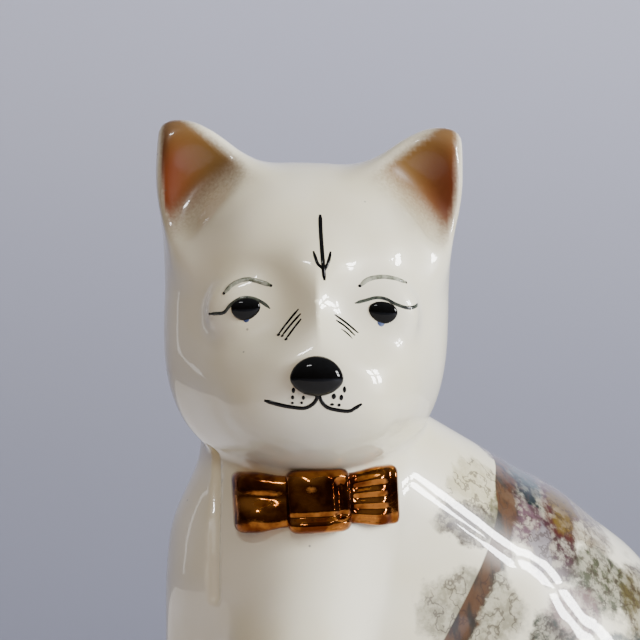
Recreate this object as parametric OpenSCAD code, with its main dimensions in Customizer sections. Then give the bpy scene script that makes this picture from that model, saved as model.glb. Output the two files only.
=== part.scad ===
// Seated cat mantel figure in glazed earthenware, with a gilded bow at the throat.
//
// The figure is hollow ware: a torso and a head cast as shells, with the forelegs,
// ears and tail luted on, a slab that closes the base, and the bow, nose and eyes
// laid on the glaze. Its surface is one smooth field, negative inside the clay.
// Every piece is the share of that field which lies nearest to it, so the pieces
// meet face to face whatever the sizes are.
//
// Frame: +Z up, origin on the resting plane at the middle of the footprint.
// The face looks along -Y. The body's length runs back to the right (+X, +Y).
// Sizes are in millimetres.

/* [Figure] */
// Height of the figure to the ear tips
figure_h = 190; // [170:1:230]
// Angle between the body's length and the X axis
body_turn = 28; // [10:1:45]
// Distance from the neck's axis back to the middle of the rump
body_len = 56; // [46:1:68]

/* [Head] */
// Width of the head
head_w = 59.2; // [50:0.2:71]
// Depth of the head without the muzzle
head_d = 52; // [44:0.5:62]
// Height of the head without the ears
head_h = 64; // [56:0.5:76]
// Lean of the head towards its own left ear
head_tilt = 1.5; // [-4:0.1:4]
// Height of the ear tips above the crown
ear_h = 9; // [6:0.1:14]
// Width of the crown between the ears
crown_w = 21; // [16:0.5:25]
// How far each ear stands out past the side of the head
ear_flare = 2.2; // [0.5:0.1:4]
// Width of the muzzle
muzzle_w = 32; // [26:0.5:38]
// How far the muzzle stands out from the face
muzzle_out = 7; // [5:0.1:9]
// Radius of the jowls
jowl_r = 20; // [17:0.5:23]

/* [Face] */
// Distance between the middles of the eyes
eye_gap = 27.4; // [24:0.2:32]
// Width of an eye
eye_w = 6; // [5:0.1:8]
// Height of an eye
eye_h = 4.4; // [3.6:0.1:6]
// Width of the nose
nose_w = 10.6; // [9:0.1:13]
// Height of the nose
nose_h = 8.4; // [7:0.1:10]
// Thickness of the nose over the muzzle
nose_t = 1.8; // [1.2:0.1:2.6]

/* [Body] */
// Length of the rump
rump_len = 84; // [70:1:100]
// Width of the rump
rump_w = 66; // [56:1:80]
// Radius of the back over the rump
back_r = 36; // [31:0.5:42]
// Radius of the back half way down it
withers_r = 33.4; // [29:0.2:38]
// Radius of the nape
nape_r = 24; // [21:0.5:27]
// Radius of the chest
chest_r = 23; // [20:0.5:27]
// Radius of the throat that carries the bow
throat_r = 20; // [18:0.5:23]

/* [Legs and tail] */
// Distance between the middles of the forelegs
stance = 27; // [24:0.5:31]
// Radius of a foreleg at the ankle
ankle_r = 9; // [7.5:0.5:10.5]
// Radius of a foreleg at the elbow
elbow_r = 12; // [10:0.5:13.5]
// Length of a forepaw
paw_len = 32; // [28:0.5:36]
// Radius of the tail at its root
tail_r = 9.5; // [8:0.5:11]
// Radius of the tail's tip
tip_r = 5; // [4:0.5:6.5]
// How far the tail wraps round the rump, in degrees
tail_wrap = 138; // [110:1:145]

/* [Casting] */
// Thickness of the cast wall
wall = 4; // [3:0.1:5]
// Length of the slab that closes the base
slab_len = 58; // [48:1:62]
// Width of the slab that closes the base
slab_w = 42; // [34:1:46]
// Thickness of the slab
slab_t = 4; // [3:0.1:6]
// Diameter of the vent hole in the slab
vent_d = 8; // [5:0.5:14]
// Diameter of the opening between the head and the torso
neck_hole_d = 22; // [14:1:24]

/* [Bow] */
// Width of the bow
bow_w = 34; // [30:0.2:38]
// Height of the bow at its ends
bow_end_h = 12.2; // [10:0.2:14]
// Height of the bow where it meets the knot
bow_waist_h = 10.4; // [8:0.2:12]
// Thickness of the loops
bow_t = 3.6; // [2.5:0.1:4.5]
// Width of the knot
knot_w = 13.2; // [11:0.2:16]
// Height of the knot
knot_h = 12.8; // [10:0.2:14]
// Thickness of the knot
knot_t = 5; // [3.5:0.1:6]
// Lean of the bow, its left end up
bow_tilt = 2.5; // [-4:0.1:4]

/* [Hidden] */

// Facets: points round each kind of piece, and the halvings that find a ray's end.
torso_points = 68;
head_points = 76;
limb_points = 28;
ear_points = 32;
trim_points = 24;
halvings = 15;
long_reach = 90;
short_reach = 44;

// Axes of the body: along its length, towards the rump, and out of its left flank.
rearwards = [cos(body_turn), sin(body_turn), 0];
leftwards = [sin(body_turn), -cos(body_turn), 0];

// Places along the body are [along, left, up] from the origin.
neck_along = -30;
neck_left = 2;
crown_up = head_h / 2 - 1.3;
head_up = figure_h - crown_up - ear_h;
chin_up = head_up - head_h / 2;
rump_along = neck_along + body_len;
nape_at = [-22, 0, chin_up - 6];
withers_at = [rump_along - 10, 0, 82.2];
back_at = [rump_along + 2, 0, 71];
chest_at = [-32, -3, chin_up - 24];
neck_foot_at = [-26, -8, chin_up - 38];
neck_top_at = [-26, -8, chin_up + 4];
neck_foot_r = 20.5;
neck_top_r = 19.8;
belly_at = [rump_along - 22, 0, 62];
rump_up = 36;
rump_half_h = 60;
low_reach = 40;
high_reach = 90;
out_of_reach = 100;
haunch_at = [rump_along - 6, 20, 36];
haunch_r = [31, 18, 37];
throat_at = [-28.5, 2, chin_up];
shoulder_at = [-33, -11, chin_up - 18];
shoulder_r = throat_r - 1.6;
ankle_at = [-45, stance / 2, 8];
elbow_at = [-42, stance / 2, 60];
elbow_cut = chin_up - 42;
paw_at = [ankle_at[0] - paw_len / 4, stance / 2 + 0.5, 6];
paw_r = [paw_len / 2, 10.5, 8.5];

// A hind paw runs from a heel under the haunch to toes that stay clear of the foreleg.
// The tail runs from behind the rump to beside those toes.
toe_clear = 11;
toe_along = ankle_at[0] + ankle_r + toe_clear;
heel_along = rump_along - 13;
hind_paw_at = [(toe_along + heel_along) / 2, 22, 5];
hind_paw_r = [(heel_along - toe_along) / 2, 9, 8.5];
tail_back = rump_along + rump_len / 2 - 5;
tail_front = toe_along - 6;
tail_middle = [(tail_back + tail_front) / 2, 0, 0];
tail_along = (tail_back - tail_front) / 2;
tail_left = rump_w / 2 + 8;
tail_start = -8;
slab_middle = [rump_along, 0, 0];
vent_at = [rump_along, 0, 0];

// Places on the head are [right as seen, back, up] from the middle of the head.
skull_at = [0.4, 0, -1.3];
jowl_at = [1.5, -7, -14];
skull_power = 2.7;
ear_slope = 38;
ear_x = head_w / 2 + ear_flare;
ear_root = [crown_w / 2, crown_up - 1.2];
tip_rounding = 1.2;
ear_tip_up = crown_up + ear_h + tip_rounding;
ear_front = 10;
ear_back = 5;
ear_lean = 0.3;
ear_blend = 5;
ear_hollow_at = [ear_x - 9, -11.5, crown_up - 5.7];
ear_hollow_r = [8.5, 5.5, 13];
muzzle_up = -15;
eye_up = 0.5;
nose_up = -12.6;
bow_x = 1.2;
bow_up = chin_up - 6;

// ---- Fields: the distance from a shape, negative inside it ----

function soft_min(a, b, k) =
    let (h = max(k - abs(a - b), 0) / k)
    min(a, b) - h * h * k / 4;

function soft_max(a, b, k) = -soft_min(-a, -b, k);

function over(v, r) = [v[0] / r[0], v[1] / r[1], v[2] / r[2]];

function ellipsoid(p, middle, r) =
    let (d = over(p - middle, r), k0 = norm(d), k1 = norm(over(d, r)))
    k0 * (k0 - 1) / max(k1, 1e-6);

// Rounded box seen from the front, ellipse seen from the side.
function pillow(p, middle, r, n) =
    let (d = over(p - middle, r),
         x = abs(d[0]), z = abs(d[2]),
         s = max(pow(x, n) + pow(z, n), 1e-9),
         k0 = norm([pow(s, 1 / n), d[1]]),
         w = pow(s, 2 / n - 1),
         k1 = norm([w * pow(x, n - 1) / r[0], d[1] / r[1], w * pow(z, n - 1) / r[2]]))
    k0 * (k0 - 1) / max(k1, 1e-6);

// Two balls joined by the cone that touches both.
function round_cone(p, a, b, ra, rb) =
    let (l = norm(b - a),
         w = (b - a) / l,
         h = (p - a) * w,
         rho = sqrt(max((p - a) * (p - a) - h * h, 0)),
         sine = (ra - rb) / l,
         t = min(max((h - rho * sine / sqrt(1 - sine * sine)) / l, 0), 1))
    norm(p - a - w * l * t) - ra - (rb - ra) * t;

// The same, narrowed across the body.
function slim_cone(p, a, b, ra, rb, slim) =
    let (squeeze = [1, slim, 1])
    slim * round_cone(over(p, squeeze), over(a, squeeze), over(b, squeeze), ra, rb);

function mirror_left(p) = [p[0], abs(p[1]), p[2]];
function mirror_face(p) = [abs(p[0]), p[1], p[2]];

function to_body(p) = [p * rearwards, p * leftwards, p[2]];
function from_body(q) = rearwards * q[0] + leftwards * q[1] + [0, 0, q[2]];

head_at = from_body([neck_along, neck_left, head_up]);

function to_head(p) =
    let (q = p - head_at)
    [q[0] * cos(head_tilt) - q[2] * sin(head_tilt), q[1],
     q[0] * sin(head_tilt) + q[2] * cos(head_tilt)];

function from_head(h) =
    head_at + [h[0] * cos(head_tilt) + h[2] * sin(head_tilt), h[1],
               h[2] * cos(head_tilt) - h[0] * sin(head_tilt)];

function skull_field(h) =
    let (a = mirror_face(h),
         face = -head_d / 2,
         ball = pillow(h, skull_at, [head_w / 2, head_d / 2, head_h / 2], skull_power),
         jowls = ellipsoid(h, jowl_at, [jowl_r, jowl_r + 2, head_h / 2 - 12.7]),
         muzzle_at = [0, face - muzzle_out + 13, muzzle_up],
         muzzle = ellipsoid(h, muzzle_at, [muzzle_w / 2, 13, 12]),
         muzzled = soft_min(soft_min(ball, jowls, 8), muzzle, 14),
         pad_at = [7.5, face - muzzle_out + 7, muzzle_up - 3.5],
         padded = soft_min(muzzled, ellipsoid(a, pad_at, [7, 5, 5]), 5),
         bridged = soft_min(padded, ellipsoid(h, [0, face + 3, -4], [8, 5.5, 15]), 9),
         socket = ellipsoid(a, [eye_gap / 2 - 0.3, face - 5.8, eye_up + 1], [10, 6, 6.5]),
         hollowed = soft_max(bridged, -socket, 8))
    soft_min(hollowed, ellipsoid(a, [eye_gap / 2, face + 4.6, eye_up], [7, 3, 5.4]), 5);

function ear_field(h) =
    let (a = mirror_face(h), x = a[0], y = a[1], z = a[2],
         outer = x - ear_x + ear_lean * soft_max(0, crown_up - 8 - z, 6),
         inner = (z - ear_root[1]) * cos(ear_slope) - (x - ear_root[0]) * sin(ear_slope),
         up_ear = z - ear_hollow_at[2],
         back = (y - ear_back) * 0.96 + up_ear * 0.28,
         front = -(y + ear_front) * 0.98 + up_ear * 0.2,
         tip = soft_max(soft_max(outer, inner, 7.5), z - ear_tip_up, 5.5),
         slab = soft_max(soft_max(tip, back, 8), front, 5),
         ended = soft_max(soft_max(slab, 6 - z, 6), 8 - x, 6))
    soft_max(ended, -ellipsoid(a, ear_hollow_at, ear_hollow_r), 3);

function head_field(h) = soft_min(skull_field(h), ear_field(h), ear_blend);

function trunk_field(b) =
    let (a = mirror_left(b),
         upper_back = slim_cone(b, nape_at, withers_at, nape_r, withers_r, 0.86),
         lower_back = slim_cone(b, withers_at, back_at, withers_r, back_r, 0.86),
         back = soft_min(upper_back, lower_back, 1.5),
         rump = ellipsoid(b, [rump_along, 0, rump_up], [rump_len / 2, rump_w / 2, rump_half_h]),
         chest = slim_cone(b, chest_at, belly_at, chest_r, chest_r + 4, 0.95),
         neck = round_cone(b, neck_foot_at, neck_top_at, neck_foot_r, neck_top_r),
         haunch = ellipsoid(a, haunch_at, haunch_r))
    soft_min(soft_min(soft_min(soft_min(back, rump, 14), chest, 10), neck, 8), haunch, 5);

function hind_paw_field(b) = ellipsoid(mirror_left(b), hind_paw_at, hind_paw_r);

// A foreleg and the shoulder above it. side is 1 for the left leg and -1 for the right.
function leg_field(b, side) =
    let (m = [1, side, 1],
         ankle = [ankle_at[0], side * ankle_at[1], ankle_at[2]],
         elbow = [elbow_at[0], side * elbow_at[1], elbow_at[2]],
         paw = [paw_at[0], side * paw_at[1], paw_at[2]],
         top = side > 0 ? throat_at : shoulder_at,
         shin = round_cone(b, ankle, elbow, ankle_r, elbow_r),
         upper = round_cone(b, elbow, top, elbow_r, side > 0 ? throat_r : shoulder_r))
    soft_min(soft_min(shin, upper, 2), ellipsoid(b, paw, paw_r), 5);

// The tail's middle line is an arc of an ellipse round the rump, and its tip curls up.
function tail_share(angle) = (angle - tail_start) / (tail_wrap - tail_start);
function tail_radius(s) = tail_r + (tip_r - tail_r) * s;
function tail_line(angle) =
    let (s = tail_share(angle), curl = 4 * max(s - 0.75, 0))
    tail_middle + [tail_along * cos(angle), tail_left * sin(angle),
                   0.86 * tail_radius(s) + 5 * curl * curl];

function tail_field(b) =
    let (d = b - tail_middle,
         angle = min(max(atan2(d[1] / tail_left, d[0] / tail_along), tail_start), tail_wrap))
    norm(b - tail_line(angle)) - tail_radius(tail_share(angle));

function legs_and_trunk(trunk, left, right) = soft_min(soft_min(trunk, right, 6), left, 3);

// The body without the tail and the hind paws.
function throat_field(p) =
    let (b = to_body(p))
    legs_and_trunk(trunk_field(b), leg_field(b, 1), leg_field(b, -1));

// ---- Pieces as fields: the whole figure, cut where another piece is nearer ----

// Everything that the shares are made from. The low parts are left out high up,
// and the head is left out low down, where they are out of reach.
function parts_at(p) =
    let (b = to_body(p), low = p[2] < low_reach, high = p[2] > high_reach,
         trunk = trunk_field(b),
         left = leg_field(b, 1),
         right = leg_field(b, -1),
         body = legs_and_trunk(trunk, left, right),
         paw = low ? hind_paw_field(b) : out_of_reach,
         tail = low ? tail_field(b) : out_of_reach,
         head = high ? head_field(to_head(p)) : out_of_reach,
         whole = soft_min(soft_min(soft_min(body, paw, 4), tail, 2.5), head, 1.6))
    [max(whole, -p[2]), body, trunk, left, right, paw, tail, head, b[1], p[2]];

function leg_share(q, side) =
    max(q[9] - elbow_cut, (side > 0 ? q[3] : q[4]) - q[2], -side * q[8]);

function torso_solid(p) =
    let (q = parts_at(p))
    max(q[0], q[1] - q[7], q[1] - q[6], q[1] - q[5], -leg_share(q, 1), -leg_share(q, -1));

function leg_solid(p, side) =
    let (q = parts_at(p))
    max(q[0], leg_share(q, side));

function hind_paw_solid(p, side) =
    let (q = parts_at(p))
    max(q[0], q[5] - q[1], q[5] - q[6], -side * q[8]);

function tail_solid(p) =
    let (q = parts_at(p))
    max(q[0], q[6] - q[1], q[6] - q[5]);

function head_solid(p) =
    let (h = to_head(p), skull = skull_field(h), ear = ear_field(h),
         head = soft_min(skull, ear, ear_blend), body = throat_field(p))
    max(soft_min(body, head, 1.6), head - body, skull - ear);

function ear_solid(p, side) =
    let (h = to_head(p), skull = skull_field(h), ear = ear_field(h))
    max(soft_min(skull, ear, ear_blend), ear - skull, -side * h[0]);

// ---- Rays: each point of a piece is where a ray leaves its field ----

function leave(field, from, along, near, far, n) =
    n == 0 ? from + along * (near + far) / 2 :
    let (mid = (near + far) / 2)
    field(from + along * mid) > 0
        ? leave(field, from, along, near, mid, n - 1)
        : leave(field, from, along, mid, far, n - 1);

function edge(field, from, along) = leave(field, from, along, 0, short_reach, halvings);

function far_edge(field, from, along) = leave(field, from, along, 0, long_reach, halvings);

function step_up(t) = t * t * (3 - 2 * t);

// A closed skin over rings of equal length, from one end point to the other.
module skin(start, rings, end) {
    n = len(rings[0]);
    m = len(rings);
    points = concat([start], [for (r = rings) each r], [end]);
    last = 1 + n * m;
    faces = concat(
        [for (j = [0 : n - 1]) [0, 1 + j, 1 + (j + 1) % n]],
        [for (i = [0 : m - 2], j = [0 : n - 1])
            let (a = 1 + i * n + j, b = 1 + i * n + (j + 1) % n)
            each [[a, a + n, b], [b, a + n, b + n]]],
        [for (j = [0 : n - 1])
            let (a = last - n + j, b = last - n + (j + 1) % n)
            [a, last, b]]);
    polyhedron(points, faces);
}

// A closed skin over rings of equal length, with the last ring joined to the first.
module hoop(rings) {
    n = len(rings[0]);
    m = len(rings);
    faces = [for (i = [0 : m - 1], j = [0 : n - 1])
        let (c = (i + 1) % m, k = (j + 1) % n,
             a = i * n + j, b = i * n + k, d = c * n + j, e = c * n + k)
        each [[a, b, d], [b, e, d]]];
    polyhedron([for (r = rings) each r], faces);
}

// Rays from one point, as rings about the axis that is given with the two axes square to it.
module pebble(field, from, axis, side, other, points, rings) {
    dirs = [for (i = [1 : rings - 1])
        let (polar = 180 * i / rings)
        [for (j = [0 : points - 1])
            let (turn = 360 * j / points)
            axis * cos(polar) + (side * cos(turn) + other * sin(turn)) * sin(polar)]];
    skin(edge(field, from, axis),
         [for (ring = dirs) [for (d = ring) edge(field, from, d)]],
         edge(field, from, -axis));
}

// ---- Pieces ----

glaze = "ivory";
gilt = "goldenrod";
enamel = [0.06, 0.06, 0.06];
bisque = "wheat";

// A point on the outline of the slab, at a turn round it and a height.
function slab_point(turn, up) =
    from_body(slab_middle + [slab_len / 2 * cos(turn), slab_w / 2 * sin(turn), up]);

torso_top = chin_up - 18;
neck_core = from_body([neck_along, neck_left, 0]);

function spread(turn) = rearwards * cos(turn) + leftwards * sin(turn);
torso_spokes = [for (j = [0 : torso_points - 1]) spread(360 * j / torso_points)];
limb_spokes = [for (j = [0 : limb_points - 1]) spread(360 * j / limb_points)];

// The head's spokes crowd together towards the face.
crowding = 22;
head_spokes = [for (j = [0 : head_points - 1])
    let (even = 360 * j / head_points, turn = even - crowding * sin(even))
    [-sin(turn), -cos(turn), 0]];

function torso_core(up) =
    let (t = step_up(min(max((up - 20) / (torso_top - 20), 0), 1)))
    from_body([rump_along + (neck_along - rump_along) * t, neck_left * t, up]);

function level_ring(field, up) =
    [for (out = torso_spokes) far_edge(field, torso_core(up), out)];

function raised_ring(field, rise) =
    [for (out = torso_spokes)
        far_edge(field, torso_core(torso_top), out * cos(rise) + [0, 0, sin(rise)])];

// The rim of the neck opening, on the seat or on the wall inside it.
function rim_ring(field, spokes, up, way) =
    [for (out = spokes) edge(field, neck_core + out * neck_hole_d / 2 + [0, 0, up], [0, 0, way])];

module torso() {
    outer = function (p) torso_solid(p);
    inner = function (p) torso_solid(p) + wall;
    ledge = 0.1;
    levels = concat([for (t = [0 : 10]) elbow_cut * pow(t / 11, 1.3)],
                    [elbow_cut - ledge],
                    [for (t = [0 : 4]) elbow_cut + ledge + (torso_top - elbow_cut - ledge) * t / 5]);
    inner_levels = [for (t = [0 : 7]) slab_t + (torso_top - slab_t) * t / 8];
    rises = [for (t = [0 : 9]) 6 * t];
    inner_rises = [0, 12, 24, 36, 48];
    color(glaze)
        hoop(concat(
            [[for (j = [0 : torso_points - 1]) slab_point(360 * j / torso_points, 0)]],
            [for (up = levels) level_ring(outer, up)],
            [for (rise = rises) raised_ring(outer, rise)],
            [rim_ring(outer, torso_spokes, torso_top, 1), rim_ring(inner, torso_spokes, torso_top, 1)],
            [for (i = [len(inner_rises) - 1 : -1 : 0]) raised_ring(inner, inner_rises[i])],
            [for (i = [len(inner_levels) - 1 : -1 : 0]) level_ring(inner, inner_levels[i])],
            [[for (j = [0 : torso_points - 1]) slab_point(360 * j / torso_points, slab_t)]]));
}

function head_ring(field, polar) =
    [for (out = head_spokes) edge(field, head_at, out * sin(polar) + [0, 0, cos(polar)])];

module head() {
    outer = function (p) head_solid(p);
    inner = function (p) head_solid(p) + wall;
    seat_polar = 152;
    outer_rings = 34;
    inner_rings = 9;
    color(glaze)
        skin(edge(outer, head_at, [0, 0, 1]),
             concat([for (i = [1 : outer_rings]) head_ring(outer, seat_polar * i / outer_rings)],
                    [rim_ring(outer, head_spokes, head_up, -1), rim_ring(inner, head_spokes, head_up, -1)],
                    [for (i = [inner_rings : -1 : 1]) head_ring(inner, 146 * i / inner_rings)]),
             edge(inner, head_at, [0, 0, 1]));
}

// side is -1 for the ear on the left as seen from the front, the cat's right ear.
module ear(side) {
    field = function (p) ear_solid(p, side);
    middle = from_head([side * (ear_x - 9.5), -2.5, crown_up - 4]);
    up = from_head([side * 0.55, 0, 0.835]) - head_at;
    across = from_head([side * 0.835, 0, -0.55]) - head_at;
    color(glaze) pebble(field, middle, up, across, [0, -side, 0], ear_points, 18);
}

// side is 1 for the left foreleg and -1 for the right.
module foreleg(side) {
    field = function (p) leg_solid(p, side);
    steps = 18;
    // The middle of the leg at a height, moved forwards over the paw.
    function core(up) =
        from_body([ankle_at[0] - 0.2 * max(20 - up, 0) + 5 * up / elbow_cut, side * stance / 2, up]);
    color(glaze)
        skin(core(elbow_cut),
             [for (i = [steps : -1 : 0])
                 let (up = elbow_cut * pow(i / steps, 1.5))
                 [for (out = limb_spokes) edge(field, core(up), out)]],
             core(0));
}

// side is 1 for the left hind paw and -1 for the right.
module hind_paw(side) {
    field = function (p) hind_paw_solid(p, side);
    middle = from_body([hind_paw_at[0] - 7, side * (hind_paw_at[1] + 1), 5]);
    color(glaze)
        pebble(field, middle, -rearwards, [0, 0, 1], leftwards, limb_points, 16);
}

module tail() {
    field = function (p) tail_solid(p);
    steps = 18;
    function ahead(angle) =
        let (d = from_body(tail_line(angle + 1) - tail_line(angle - 1)))
        d / norm(d);
    function ring(angle, lean) =
        let (way = ahead(angle), level = cross([0, 0, 1], way),
             out = level / norm(level), up = cross(way, out))
        [for (j = [0 : limb_points - 1])
            let (turn = 360 * j / limb_points)
            edge(field, from_body(tail_line(angle)),
                 (out * cos(turn) + up * sin(turn)) * cos(lean) + way * sin(lean))];
    color(glaze)
        skin(edge(field, from_body(tail_line(tail_start)), -ahead(tail_start)),
             concat([ring(tail_start, -60), ring(tail_start, -30)],
                    [for (i = [0 : steps]) ring(tail_start + (tail_wrap - tail_start) * i / steps, 0)],
                    [ring(tail_wrap, 30), ring(tail_wrap, 60)]),
             edge(field, from_body(tail_line(tail_wrap)), ahead(tail_wrap)));
}

module base_slab() {
    outline = [for (j = [0 : torso_points - 1])
        let (p = slab_point(360 * j / torso_points, 0)) [p[0], p[1]]];
    color(bisque)
        difference() {
            linear_extrude(slab_t) polygon(outline);
            translate(from_body(vent_at) - [0, 0, 1]) cylinder(h = slab_t + 2, d = vent_d, $fn = 48);
        }
}

// The bow lies on the throat: its thickness is the distance from the throat.
bow_middle = [head_at[0] + bow_x, head_at[1], bow_up];
bow_at = edge(function (p) throat_field(p), bow_middle, [0, -1, 0]);

function to_bow(p) =
    let (q = p - bow_at)
    [q[0] * cos(bow_tilt) + q[2] * sin(bow_tilt), throat_field(p),
     q[2] * cos(bow_tilt) - q[0] * sin(bow_tilt)];

// A loop is low at the waist and full at its end.
function loop_field(q, side) =
    let (x = side * q[0],
         s = min(max((x - knot_w / 2) / (bow_w / 2 - knot_w / 2), 0), 1),
         half = (bow_waist_h + (bow_end_h - bow_waist_h) * step_up(min(1.6 * s, 1))) / 2,
         thick = bow_t * (0.75 + 0.25 * s),
         edges = soft_max(soft_max(x - bow_w / 2, knot_w / 2 - x, 0.4), abs(q[2]) - half, 2))
    soft_max(edges, q[1] - thick, 2.4);

function knot_field(q) =
    soft_max(soft_max(abs(q[0]) - knot_w / 2, abs(q[2]) - knot_h / 2, 2.5), q[1] - knot_t, 3);

// A piece of the bow stands on the throat and just clears the chin.
function on_throat(p, shape) = max(shape, -throat_field(p), 0.3 - head_field(to_head(p)));

// The point of the throat that lies behind a place on the bow.
function throat_behind(x) =
    edge(function (p) throat_field(p),
         [bow_at[0] + x * cos(bow_tilt), bow_middle[1], bow_at[2] + x * sin(bow_tilt)],
         [0, -1, 0]);

// side is 1 for the cat's left loop and -1 for its right.
module bow_loop(side) {
    field = function (p) on_throat(p, loop_field(to_bow(p), side));
    middle = throat_behind(side * (bow_w + knot_w) / 4) - [0, bow_t / 3, 0];
    color(gilt) pebble(field, middle, [0, -1, 0], [1, 0, 0], [0, 0, -1], limb_points, 14);
}

module bow_knot() {
    field = function (p) on_throat(p, knot_field(to_bow(p)));
    middle = bow_at - [0, knot_t / 3, 0];
    color(gilt) pebble(field, middle, [0, -1, 0], [1, 0, 0], [0, 0, -1], limb_points, 14);
}

// A drop of enamel that stands on the face, at a place [right as seen, up] on it.
module drop(place, r) {
    face = function (p) head_field(to_head(p));
    foot = edge(face, from_head([place[0], 0, place[1]]), [0, -1, 0]);
    at_head = to_head(foot);
    field = function (p) max(ellipsoid(to_head(p), at_head, r), -head_field(to_head(p)));
    color(enamel)
        pebble(field, foot - [0, 0.35 * r[1], 0], [0, -1, 0], [1, 0, 0], [0, 0, -1], trim_points, 12);
}

module nose() drop([0, nose_up], [nose_w / 2, nose_t + 0.6, nose_h / 2]);

// side is 1 for the cat's left eye and -1 for its right.
module eye(side) drop([side * eye_gap / 2, eye_up], [eye_w / 2, 1, eye_h / 2]);

torso();
head();
ear(1);  // left_ear
ear(-1);  // right_ear
foreleg(1);  // left_foreleg
foreleg(-1);  // right_foreleg
hind_paw(1);  // left_hind_paw
hind_paw(-1);  // right_hind_paw
tail();
base_slab();
bow_loop(1);  // bow_left_loop
bow_loop(-1);  // bow_right_loop
bow_knot();
nose();
eye(1);  // left_eye
eye(-1);  // right_eye
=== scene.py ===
import math
import bpy
import numpy as np
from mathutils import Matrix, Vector


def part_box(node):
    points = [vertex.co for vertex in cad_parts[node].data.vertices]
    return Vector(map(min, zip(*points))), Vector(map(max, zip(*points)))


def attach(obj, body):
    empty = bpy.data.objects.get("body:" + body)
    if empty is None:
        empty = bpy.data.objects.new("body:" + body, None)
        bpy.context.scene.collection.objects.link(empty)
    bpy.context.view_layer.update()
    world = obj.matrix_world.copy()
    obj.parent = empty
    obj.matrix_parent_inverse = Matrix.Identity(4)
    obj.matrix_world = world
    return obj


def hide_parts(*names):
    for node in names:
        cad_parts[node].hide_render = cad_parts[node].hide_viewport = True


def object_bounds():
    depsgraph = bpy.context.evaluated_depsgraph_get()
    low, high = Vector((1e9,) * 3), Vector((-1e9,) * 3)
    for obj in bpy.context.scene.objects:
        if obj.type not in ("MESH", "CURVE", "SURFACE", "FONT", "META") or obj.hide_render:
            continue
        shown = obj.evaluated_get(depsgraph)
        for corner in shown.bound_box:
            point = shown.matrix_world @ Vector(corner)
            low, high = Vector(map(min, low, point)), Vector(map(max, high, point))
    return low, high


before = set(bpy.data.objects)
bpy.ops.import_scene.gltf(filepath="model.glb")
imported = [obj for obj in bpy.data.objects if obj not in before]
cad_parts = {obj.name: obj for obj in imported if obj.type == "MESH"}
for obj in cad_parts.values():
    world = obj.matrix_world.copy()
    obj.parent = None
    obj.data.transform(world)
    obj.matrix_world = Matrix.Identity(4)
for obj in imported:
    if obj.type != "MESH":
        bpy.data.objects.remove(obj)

# Seated cat mantel figure in glossy ivory glaze, with painted face, brown ears,
# a gilt bow at the throat and a transfer print on the left flank.
# Lengths are in millimetres until a mesh is made, which is in metres.

cad_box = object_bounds()
MM = 0.001

# ---- Driving sizes, the same as the solid model's ----

FIGURE_H = 190
BODY_TURN = math.radians(28)
BODY_LEN = 56
HEAD_W, HEAD_D, HEAD_H = 59.2, 52, 64
HEAD_TILT = math.radians(1.5)
EAR_H, CROWN_W, EAR_FLARE = 9, 21, 2.2
MUZZLE_W, MUZZLE_OUT = 32, 7
EYE_GAP, EYE_W, EYE_H = 27.4, 6, 4.4
NOSE_W, NOSE_H, NOSE_T = 10.6, 8.4, 1.8
RUMP_LEN, RUMP_W, BACK_R, WITHERS_R = 84, 66, 36, 33.4
NAPE_R, CHEST_R, THROAT_R = 24, 23, 20
STANCE, ANKLE_R, ELBOW_R, PAW_LEN = 27, 9, 12, 32
TAIL_R, TIP_R, TAIL_WRAP = 9.5, 5, 138
SLAB_LEN, SLAB_W = 58, 42
BOW_W, BOW_END_H, BOW_WAIST_H, BOW_T = 34, 12.2, 10.4, 3.6
KNOT_W, KNOT_H, KNOT_T = 13.2, 12.8, 5
BOW_TILT = math.radians(2.5)

# ---- Sizes worked out from them ----

REARWARDS = np.array([math.cos(BODY_TURN), math.sin(BODY_TURN), 0])
LEFTWARDS = np.array([math.sin(BODY_TURN), -math.cos(BODY_TURN), 0])
NECK_ALONG, NECK_LEFT = -30, 2
CROWN_UP = HEAD_H / 2 - 1.3
HEAD_UP = FIGURE_H - CROWN_UP - EAR_H
CHIN_UP = HEAD_UP - HEAD_H / 2
RUMP_ALONG = NECK_ALONG + BODY_LEN
ELBOW_CUT = CHIN_UP - 42
EAR_X = HEAD_W / 2 + EAR_FLARE
TIP_ROUNDING = 1.2
EAR_TIP_UP = CROWN_UP + EAR_H + TIP_ROUNDING
EAR_SLOPE = math.radians(38)
MUZZLE_UP, EYE_UP, NOSE_UP = -15, 0.5, -12.6
FACE = -HEAD_D / 2
ANKLE_ALONG, ELBOW_ALONG = -45, -42
TOE_CLEAR = 11
TOE_ALONG = ANKLE_ALONG + ANKLE_R + TOE_CLEAR
HEEL_ALONG = RUMP_ALONG - 13
TAIL_BACK, TAIL_FRONT = RUMP_ALONG + RUMP_LEN / 2 - 5, TOE_ALONG - 6
TAIL_START = -8

# ---- Fields: the distance from a shape, negative inside it ----


def soft_min(a, b, k):
    h = np.maximum(k - np.abs(a - b), 0) / k
    return np.minimum(a, b) - h * h * k / 4


def soft_max(a, b, k):
    return -soft_min(-a, -b, k)


def ellipsoid(p, middle, r):
    d = (p - np.array(middle)) / np.array(r)
    k0 = np.sqrt((d * d).sum(-1))
    k1 = np.sqrt(((d / np.array(r)) ** 2).sum(-1))
    return k0 * (k0 - 1) / np.maximum(k1, 1e-6)


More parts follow.
